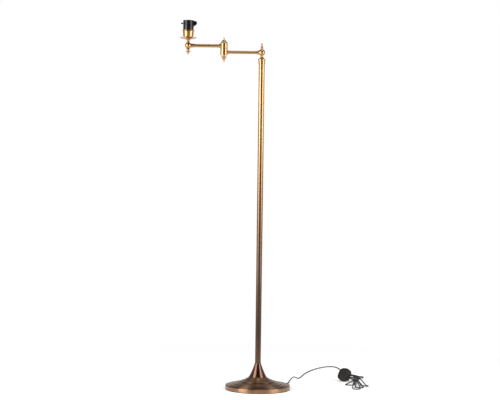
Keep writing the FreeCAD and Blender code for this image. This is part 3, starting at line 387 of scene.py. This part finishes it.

# %% Shared effect: turned rings, and spokes for a painted highlight
rings, rings_in, rings_out = group_tree(
    "turned_rings_and_painted_spokes",
    [("Place", "NodeSocketVector"), ("Ring Pitch", "NodeSocketFloat")],
    [("Ring", "NodeSocketFloat"), ("Painted Spoke", "NodeSocketFloat")],
)
split = node(rings, "ShaderNodeSeparateXYZ")
rings.links.new(rings_in.outputs["Place"], split.inputs[0])
flat = node(rings, "ShaderNodeCombineXYZ")
rings.links.new(split.outputs["X"], flat.inputs["X"])
rings.links.new(split.outputs["Y"], flat.inputs["Y"])
radius = node(rings, "ShaderNodeVectorMath", operation="LENGTH")
rings.links.new(flat.outputs[0], radius.inputs[0])
count = node(rings, "ShaderNodeMath", operation="DIVIDE")
rings.links.new(radius.outputs["Value"], count.inputs[0])
rings.links.new(rings_in.outputs["Ring Pitch"], count.inputs[1])
ring_noise = node(rings, "ShaderNodeTexNoise", noise_dimensions="1D")
ring_noise.inputs["Scale"].default_value = 1.0
ring_noise.inputs["Detail"].default_value = 3.0
rings.links.new(count.outputs[0], ring_noise.inputs["W"])
rings.links.new(ring_noise.outputs["Fac"], rings_out.inputs["Ring"])
# Noise by angle round the middle: the spokes of a painted highlight in the base colour
angle = node(rings, "ShaderNodeVectorMath", operation="NORMALIZE")
rings.links.new(flat.outputs[0], angle.inputs[0])
painted_spoke_noise = node(rings, "ShaderNodeTexNoise")
painted_spoke_noise.inputs["Scale"].default_value = 1.6
painted_spoke_noise.inputs["Detail"].default_value = 5.0
rings.links.new(angle.outputs[0], painted_spoke_noise.inputs["Vector"])
rings.links.new(painted_spoke_noise.outputs["Fac"], rings_out.inputs["Painted Spoke"])
print("group", rings.name)

# %% [markdown]
# ## Painted shade and highlight on the steps of the base
# Painted shade darkens the corners below the steps, and a painted highlight brightens the steps'
# edges. Both follow circles about the lamp's middle, so the distance from the middle is all they need.

# %% Shared effect: painted shade in the corners and painted highlight on the edges of the steps
BASE_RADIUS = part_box("base_cover")[1][0]
STEPS_IN = (0.0085, 0.0185, 0.0315, 0.0565)
# Widths of the painted shade in the corners and of the painted highlight on the edges
CORNER_SHADE_WIDTH = 0.0028
EDGE_HIGHLIGHT_INSET = 0.0040
EDGE_HIGHLIGHT_WIDTH = 0.0030

steps, steps_in, steps_out = group_tree(
    "step_shade_and_highlight",
    [("Place", "NodeSocketVector")],
    [("Corner Shade", "NodeSocketFloat"), ("Edge", "NodeSocketFloat")],
)
split = node(steps, "ShaderNodeSeparateXYZ")
steps.links.new(steps_in.outputs["Place"], split.inputs[0])
flat = node(steps, "ShaderNodeCombineXYZ")
steps.links.new(split.outputs["X"], flat.inputs["X"])
steps.links.new(split.outputs["Y"], flat.inputs["Y"])
reach = node(steps, "ShaderNodeVectorMath", operation="LENGTH")
steps.links.new(flat.outputs[0], reach.inputs[0])


def near_circles(circles, width):
    """A mask that is 1 on each circle and fades to 0 a width away."""
    mask = None
    for circle in circles:
        apart = node(steps, "ShaderNodeMath", operation="SUBTRACT")
        apart.inputs[1].default_value = circle
        steps.links.new(reach.outputs["Value"], apart.inputs[0])
        size = node(steps, "ShaderNodeMath", operation="ABSOLUTE")
        steps.links.new(apart.outputs[0], size.inputs[0])
        fade = node(steps, "ShaderNodeMapRange", interpolation_type="SMOOTHSTEP")
        fade.inputs["From Max"].default_value = width
        fade.inputs["To Min"].default_value = 1.0
        fade.inputs["To Max"].default_value = 0.0
        steps.links.new(size.outputs[0], fade.inputs["Value"])
        if mask is None:
            mask = fade.outputs["Result"]
        else:
            most = node(steps, "ShaderNodeMath", operation="MAXIMUM")
            steps.links.new(mask, most.inputs[0])
            steps.links.new(fade.outputs["Result"], most.inputs[1])
            mask = most.outputs[0]
    return mask


# Painted shade on circles at the corners below the steps, painted highlight on circles just inside their
# edges
corners = [BASE_RADIUS - step_in for step_in in STEPS_IN]
edges = [corner - EDGE_HIGHLIGHT_INSET for corner in corners]
steps.links.new(near_circles(corners, CORNER_SHADE_WIDTH), steps_out.inputs["Corner Shade"])
steps.links.new(near_circles(edges, EDGE_HIGHLIGHT_WIDTH), steps_out.inputs["Edge"])
print("group", steps.name, "for steps at", [round(corner, 4) for corner in corners])

# %% [markdown]
# ## Antique brass with painted shade
# The column is brass under a clear lacquer, and its colour carries painted shade: bright gold at the
# arms, browner with every hand's width towards the floor. A colour ramp along the height paints
# that, and the cloudy lacquer breaks it up. Lacquer is a clear layer, so the shader's coat carries it.

# %% Brass of the column and arms
BRASS_LOW = 0.05
BRASS_HIGH = 1.25
# Painted shade down the column: the colour runs from bright gold at the arms to dark brown towards the floor
BRASS_SHADED_TONES = [
    (0.00, (0.110, 0.045, 0.020)),
    (0.14, (0.050, 0.024, 0.009)),
    (0.39, (0.100, 0.048, 0.019)),
    (0.55, (0.190, 0.098, 0.040)),
    (0.80, (0.420, 0.235, 0.092)),
    (1.00, (0.430, 0.238, 0.090)),
]
brass, tree, shader, place = finish_of("antique_brass", (0.5, 0.3, 0.12), 1.0, 0.24)
height = node(tree, "ShaderNodeSeparateXYZ")
tree.links.new(place, height.inputs[0])
climb = node(tree, "ShaderNodeMapRange")
climb.inputs["From Min"].default_value = BRASS_LOW
climb.inputs["From Max"].default_value = BRASS_HIGH
tree.links.new(height.outputs["Z"], climb.inputs["Value"])
ramp_node = node(tree, "ShaderNodeValToRGB")
ramp = ramp_node.color_ramp
while len(ramp.elements) < len(BRASS_SHADED_TONES):
    ramp.elements.new(0.5)
for stop, (position, color) in zip(ramp.elements, BRASS_SHADED_TONES):
    stop.position = position
    stop.color = (*color, 1)
tree.links.new(climb.outputs["Result"], ramp_node.inputs["Fac"])
lacquer = placed(tree, clouds, Cloud_Size=0.05, Speck_Size=0.002)
tree.links.new(place, lacquer.inputs["Place"])
# The ramp's painted shade, lighter or darker in clouds
light_and_shade_tone = node(tree, "ShaderNodeHueSaturation")
tree.links.new(ramp_node.outputs["Color"], light_and_shade_tone.inputs["Color"])
tree.links.new(spread(tree, lacquer.outputs["Cloud"], 0.88, 1.12), light_and_shade_tone.inputs["Value"])
tree.links.new(light_and_shade_tone.outputs["Color"], shader.inputs["Base Color"])
tree.links.new(spread(tree, lacquer.outputs["Cloud"], 0.24, 0.32), shader.inputs["Roughness"])
bump(tree, shader, lacquer.outputs["Speck"], 0.01, 0.00001)
shader.inputs["Coat Weight"].default_value = 0.6
shader.inputs["Coat Roughness"].default_value = 0.10
print("brass toned over", BRASS_HIGH - BRASS_LOW, "m")

# %% [markdown]
# ## Spun brass of the base
# The cover of the base was spun and brushed on a lathe. Its scratches run round the middle, so
# a lamp shows on it as bright spokes that stay put while the rest stays brown. An anisotropic
# shader with its direction set radially does just that, and fine rings add the brush marks.
# Bright spokes by angle are also painted into its colour as a painted highlight.

# %% Brass of the base
base_brass, tree, shader, place = finish_of("spun_brass", (0.42, 0.25, 0.16), 1.0, 0.36)
ring_marks_and_painted_spokes = placed(tree, rings, Ring_Pitch=0.0009)
tree.links.new(place, ring_marks_and_painted_spokes.inputs["Place"])
lacquer = placed(tree, clouds, Cloud_Size=0.06, Speck_Size=0.0015)
tree.links.new(place, lacquer.inputs["Place"])
# Painted highlight: the colour goes from brown to light gold in spokes by angle
light_and_shade_tone = tinted(tree, ring_marks_and_painted_spokes.outputs["Painted Spoke"], (0.17, 0.088, 0.050), (0.48, 0.28, 0.155))
step_shade_and_highlight_marks = placed(tree, steps)
tree.links.new(place, step_shade_and_highlight_marks.inputs["Place"])
# Painted highlight on the steps' edges, then painted shade in the corners below them
light_and_shade_tone = toward(tree, step_shade_and_highlight_marks.outputs["Edge"], light_and_shade_tone, (0.75, 0.46, 0.27), 0.65)
light_and_shade_tone = toward(tree, step_shade_and_highlight_marks.outputs["Corner Shade"], light_and_shade_tone, (0.040, 0.018, 0.010), 0.92)
tree.links.new(light_and_shade_tone, shader.inputs["Base Color"])
tree.links.new(spread(tree, ring_marks_and_painted_spokes.outputs["Ring"], 0.26, 0.44), shader.inputs["Roughness"])
bump(tree, shader, ring_marks_and_painted_spokes.outputs["Ring"], 0.12, 0.0002)
shader.inputs["Anisotropic"].default_value = 0.8
shader.inputs["Anisotropic Rotation"].default_value = 0.25
shader.inputs["Coat Weight"].default_value = 0.1
shader.inputs["Coat Roughness"].default_value = 0.25
tangent = node(tree, "ShaderNodeTangent", direction_type="RADIAL", axis="Z")
tree.links.new(tangent.outputs[0], shader.inputs["Tangent"])

# %% [markdown]
# ## Mouldings, flex and felt
# The lampholder is a glossy black moulding (the real one is a little duller below its rim; here its
# gloss varies only in clouds), the plug a softer black plastic with a fine grain, and the flex smooth
# PVC with a faint sheen. A plain black would swallow their shape: what shows it is the way that the gloss
# changes.

# %% Black mouldings
def moulding(name, color, rough_low, rough_high, grain, depth):
    """A moulded plastic or rubber with cloudy gloss and a grain."""
    material, tree, shader, place = finish_of(name, color, 0.0, rough_low)
    surface = placed(tree, clouds, Cloud_Size=0.02, Speck_Size=grain)
    tree.links.new(place, surface.inputs["Place"])
    tree.links.new(spread(tree, surface.outputs["Cloud"], rough_low, rough_high), shader.inputs["Roughness"])
    dark = [part * 0.8 for part in color]
    light = [part * 1.3 for part in color]
    tree.links.new(tinted(tree, surface.outputs["Cloud"], dark, light), shader.inputs["Base Color"])
    bump(tree, shader, surface.outputs["Speck"], 0.25, depth)
    shader.inputs["Specular IOR Level"].default_value = 0.35
    return material


holder = moulding("black_phenolic", (0.006, 0.005, 0.0045), 0.10, 0.30, 0.0012, 0.00002)
plug_black = moulding("plug_plastic", (0.011, 0.008, 0.007), 0.50, 0.70, 0.0006, 0.00012)
flex_black = moulding("flex_pvc", (0.005, 0.0035, 0.003), 0.45, 0.60, 0.0010, 0.00003)
tie_black = moulding("tie_pvc", (0.010, 0.009, 0.009), 0.42, 0.62, 0.0008, 0.00006)
ceramic = moulding("steatite", (0.72, 0.70, 0.65), 0.35, 0.55, 0.0009, 0.00006)
fibre = moulding("pressed_fibre", (0.20, 0.12, 0.075), 0.60, 0.85, 0.0007, 0.00015)
felt = moulding("dark_felt", (0.055, 0.048, 0.043), 0.90, 1.00, 0.0008, 0.00050)
iron = moulding("painted_iron", (0.050, 0.050, 0.050), 0.50, 0.75, 0.0020, 0.00030)

# %% Plain metals
def plain_metal(name, color, rough_low, rough_high):
    """A plated metal with faint stains."""
    material, tree, shader, place = finish_of(name, color, 1.0, rough_low)
    surface = placed(tree, clouds, Cloud_Size=0.012, Speck_Size=0.001)
    tree.links.new(place, surface.inputs["Place"])
    tree.links.new(spread(tree, surface.outputs["Cloud"], rough_low, rough_high), shader.inputs["Roughness"])
    dark = [part * 0.75 for part in color]
    tree.links.new(tinted(tree, surface.outputs["Cloud"], dark, color), shader.inputs["Base Color"])
    bump(tree, shader, surface.outputs["Speck"], 0.1, 0.0001)
    return material


steel = plain_metal("zinc_steel", (0.56, 0.56, 0.55), 0.25, 0.45)
pins = plain_metal("plated_pins", (0.72, 0.66, 0.52), 0.15, 0.32)
contacts = plain_metal("bright_contacts", (0.80, 0.60, 0.30), 0.18, 0.36)

# %% [markdown]
# ## Finishes on the solid pieces
# The construction model says what each piece is made of, so one table from its names to the
# finishes covers them all.

# %% Give every solid piece its finish
FINISHES = {
    "brass": brass, "base_brass": base_brass, "felt": felt, "iron": iron, "steel": steel,
    "flex": flex_black, "tie": tie_black, "plug": plug_black, "pins": pins, "holder": holder,
    "contacts": contacts, "ceramic": ceramic, "fibre": fibre,
}
slot_of = {row["node"]: row["material_slot"] for row in frame["record"]["subparts"]}
for name, piece in nodes.items():
    piece.data.materials.clear()
    piece.data.materials.append(FINISHES[slot_of[name]])
flex.data.materials.append(flex_black)
print(len(slot_of), "pieces finished")

# %% [markdown]
# ## The screw shell
# A bulb screws into a thin brass shell that is rolled into a round thread. One pitch of the
# thread is a short wavy line. Turned about the middle while it climbs by one pitch a turn, it
# becomes the whole thread, and two flat cuts trim its ends.

# %% Threaded shell
THREAD_PITCH = 0.0036
THREAD_DEPTH = 0.0009
SHELL_WALL = 0.0003
TURN_STEPS = 40
WAVE_PARTS = 8


def finished(bm, name, material, smooth=True):
    """A mesh object of its own from a bmesh, with its faces outwards."""
    bmesh.ops.remove_doubles(bm, verts=bm.verts, dist=1e-6)
    bmesh.ops.recalc_face_normals(bm, faces=bm.faces)
    for face in bm.faces:
        face.smooth = smooth
    mesh = bpy.data.meshes.new(name)
    bm.to_mesh(mesh)
    bm.free()
    mesh.materials.append(material)
    piece = bpy.data.objects.new(name, mesh)
    bpy.context.collection.objects.link(piece)
    return piece


def edges_through(bm, points):
    """Vertices at points, joined in a row."""
    row = [bm.verts.new(point) for point in points]
    return row, [bm.edges.new(pair) for pair in zip(row, row[1:])]


low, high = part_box("screw_shell")
middle = Vector(((low[0] + high[0]) / 2, (low[1] + high[1]) / 2, 0))
outer = (high[0] - low[0]) / 2 - SHELL_WALL
turns_up = math.ceil((high[2] - low[2]) / THREAD_PITCH) + 2
bm = bmesh.new()
wave = []
for part in range(WAVE_PARTS + 1):
    turn = part / WAVE_PARTS
    depth = THREAD_DEPTH * (1 - math.cos(math.tau * turn)) / 2
    wave.append(middle + Vector((outer - depth, 0, low[2] + (turn - 1) * THREAD_PITCH)))
row, edges = edges_through(bm, wave)
bmesh.ops.spin(
    bm, geom=row + edges, cent=middle, axis=(0, 0, 1), dvec=(0, 0, THREAD_PITCH / TURN_STEPS),
    angle=math.tau * turns_up, steps=TURN_STEPS * turns_up,
)
bmesh.ops.remove_doubles(bm, verts=bm.verts, dist=1e-6)
for level, way in ((low[2], -1), (high[2], 1)):
    bmesh.ops.bisect_plane(
        bm, geom=bm.verts[:] + bm.edges[:] + bm.faces[:], plane_co=(0, 0, level),
        plane_no=(0, 0, way), clear_outer=True,
    )
thread = finished(bm, "threaded_shell", contacts)
wall = thread.modifiers.new("wall", "SOLIDIFY")
wall.thickness = SHELL_WALL
wall.offset = 0
print("thread of", turns_up - 2, "turns")

# %% [markdown]
# ## The plug's strain relief
# A moulded plug holds its flex in a tapered sleeve with ribs, so that the flex bends gently. The
# sleeve is round, so half of its outline, spun about the flex, is the whole piece. Ribs narrow
# towards the mouth, as they do on the real thing.

# %% Ribbed sleeve
RELIEF_WIDE = 0.0042
RELIEF_NARROW = 0.0030
RIB_COUNT = 5
RIB_HEIGHT = 0.0005
RIB_PARTS = 4
ROUND_STEPS = 32


def sleeve_outline(length, wide, narrow, ribs, rib_height):
    """Half an outline from the root on the axis, over the ribs, back to the axis."""
    points = [(0, 0)]
    for part in range(ribs * RIB_PARTS + 1):
        way = part / (ribs * RIB_PARTS)
        radius = wide + (narrow - wide) * way
        if part % RIB_PARTS in (1, 2):
            radius -= rib_height
        points.append((radius, length * way))
    return points + [(0, length)]


def spun(name, outline, where, material):
    """An outline of (radius, way) spun about where's Z."""
    bm = bmesh.new()
    row, edges = edges_through(bm, [(radius, 0, way) for radius, way in outline])
    bmesh.ops.spin(bm, geom=row + edges, cent=(0, 0, 0), axis=(0, 0, 1), angle=math.tau,
                   steps=ROUND_STEPS, use_merge=True)
    bmesh.ops.transform(bm, matrix=where, verts=bm.verts)
    return finished(bm, name, material, smooth=False)


def facing(place, way):
    """A matrix at place whose Z points along way."""
    return Matrix.Translation(place) @ Vector(way).to_track_quat("Z", "Y").to_matrix().to_4x4()


sleeve = spun("plug_sleeve", sleeve_outline(RELIEF_LENGTH, RELIEF_WIDE, RELIEF_NARROW, RIB_COUNT, RIB_HEIGHT),
              facing(entry, entry_way), plug_black)

# %% [markdown]
# ## What the new pieces ride on
# The screw shell swings with the outer arm, and the flex and its sleeve stay with the stand. Each
# new piece takes the place of the plain solids that it shows better.

# %% Put the new pieces on their bodies
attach(flex, "stand")
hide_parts("flex_bow", "flex_hank", "flex_tail")
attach(thread, "outer_arm")
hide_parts("screw_shell")
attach(sleeve, "stand")
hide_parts("plug_grommet")

# %% [markdown]
# ## The studio
# The lamp stands on a white floor in an even white room. The floor is lit like any surface near
# the lamp, so it keeps the lamp's shadow, and turns into plain white further out, where a
# horizon would show. Metal needs something to reflect, and large soft lamps give it long
# highlights.

# %% Floor
FLOOR_RADIUS = 9.0
LIT_RADIUS = 0.7
WHITE_RADIUS = 1.5
FLOOR_GLOW = 0.22

bm = bmesh.new()
bmesh.ops.create_circle(bm, cap_ends=True, radius=FLOOR_RADIUS, segments=64)
floor_finish = bpy.data.materials.new("studio_floor")
floor_finish.use_nodes = True
tree = floor_finish.node_tree
tree.nodes.clear()
place = node(tree, "ShaderNodeTexCoord").outputs["Object"]
reach = node(tree, "ShaderNodeVectorMath", operation="LENGTH")
tree.links.new(place, reach.inputs[0])
far_out = node(tree, "ShaderNodeMapRange", interpolation_type="SMOOTHSTEP")
far_out.inputs["From Min"].default_value = LIT_RADIUS
far_out.inputs["From Max"].default_value = WHITE_RADIUS
tree.links.new(reach.outputs["Value"], far_out.inputs["Value"])
path = node(tree, "ShaderNodeLightPath")
seen = node(tree, "ShaderNodeMath", operation="MAXIMUM")
tree.links.new(path.outputs["Is Camera Ray"], seen.inputs[0])
tree.links.new(path.outputs["Is Glossy Ray"], seen.inputs[1])
glow = node(tree, "ShaderNodeEmission")
tree.links.new(seen.outputs[0], glow.inputs["Strength"])
soft_glow = node(tree, "ShaderNodeEmission")
less = node(tree, "ShaderNodeMath", operation="MULTIPLY")
less.inputs[1].default_value = FLOOR_GLOW
tree.links.new(seen.outputs[0], less.inputs[0])
tree.links.new(less.outputs[0], soft_glow.inputs["Strength"])
paint = node(tree, "ShaderNodeBsdfDiffuse")
paint.inputs["Color"].default_value = (0.86, 0.86, 0.86, 1)
lit = node(tree, "ShaderNodeAddShader")
tree.links.new(paint.outputs[0], lit.inputs[0])
tree.links.new(soft_glow.outputs[0], lit.inputs[1])
blend = node(tree, "ShaderNodeMixShader")
tree.links.new(far_out.outputs["Result"], blend.inputs["Fac"])
tree.links.new(lit.outputs[0], blend.inputs[1])
tree.links.new(glow.outputs[0], blend.inputs[2])
surface = node(tree, "ShaderNodeOutputMaterial")
tree.links.new(blend.outputs[0], surface.inputs["Surface"])
floor = finished(bm, "studio_floor", floor_finish, smooth=False)

# %% White room
ROOM_LIGHT = 0.45
DIM_BEHIND_CAMERA = 0.12
DIM_OVERHEAD = 0.25
BRIGHT_BEHIND_LAMP = 0.60
world = bpy.data.worlds.new("white_room")
bpy.context.scene.world = world
world.use_nodes = True
tree = world.node_tree
background = tree.nodes["Background"]
background.inputs["Color"].default_value = (1, 1, 1, 1)
look = node(tree, "ShaderNodeSeparateXYZ")
tree.links.new(node(tree, "ShaderNodeTexCoord").outputs["Generated"], look.inputs[0])


def dimmer(axis, begin, end, first, last):
    """A factor that goes smoothly from first to last as the look along an axis goes from begin to end."""
    made = node(tree, "ShaderNodeMapRange", interpolation_type="SMOOTHSTEP")
    for label, value in zip(("From Min", "From Max", "To Min", "To Max"), (begin, end, first, last)):
        made.inputs[label].default_value = value
    tree.links.new(look.outputs[axis], made.inputs["Value"])
    return made.outputs["Result"]


def product(first, second):
    """One factor times another."""
    made = node(tree, "ShaderNodeMath", operation="MULTIPLY")
    tree.links.new(first, made.inputs[0])
    tree.links.new(second, made.inputs[1])
    return made.outputs[0]


def chosen(factor, first, second):
    """The first strength where the factor is 0, and the second where it is 1."""
    made = node(tree, "ShaderNodeMix", data_type="FLOAT")
    tree.links.new(factor, made.inputs["Factor"])
    for entry_socket, value in ((made.inputs["A"], first), (made.inputs["B"], second)):
        if isinstance(value, float):
            entry_socket.default_value = value
        else:
            tree.links.new(value, entry_socket)
    return made.outputs["Result"]


path = node(tree, "ShaderNodeLightPath")
mirrored = product(
    dimmer("Y", -0.95, 0.5, DIM_BEHIND_CAMERA, BRIGHT_BEHIND_LAMP),
    dimmer("Z", 0.05, 0.75, 1.0, DIM_OVERHEAD),
)
strength = chosen(path.outputs["Is Glossy Ray"], ROOM_LIGHT, mirrored)
strength = chosen(path.outputs["Is Camera Ray"], strength, 1.0)
tree.links.new(strength, background.inputs["Strength"])

# %% Soft lamps
def soft_lamp(name, place, aim, width, height, power):
    """A large rectangular studio lamp."""
    data = bpy.data.lights.new(name, "AREA")
    data.shape = "RECTANGLE"
    data.size = width
    data.size_y = height
    data.energy = power
    lamp = bpy.data.objects.new(name, data)
    lamp.location = place
    lamp.rotation_euler = look_from(place, aim)
    bpy.context.collection.objects.link(lamp)
    return lamp


soft_lamp("key_lamp", (-2.3, -1.6, 1.4), (0, 0, 0.7), 1.8, 2.6, 90)
soft_lamp("fill_lamp", (2.4, -1.3, 1.4), (0, 0, 0.7), 1.6, 2.6, 66)
soft_lamp("top_lamp", (0.2, -0.4, 3.0), (0, 0, 0), 1.2, 1.2, 12)
bpy.context.scene.view_settings.view_transform = "Standard"
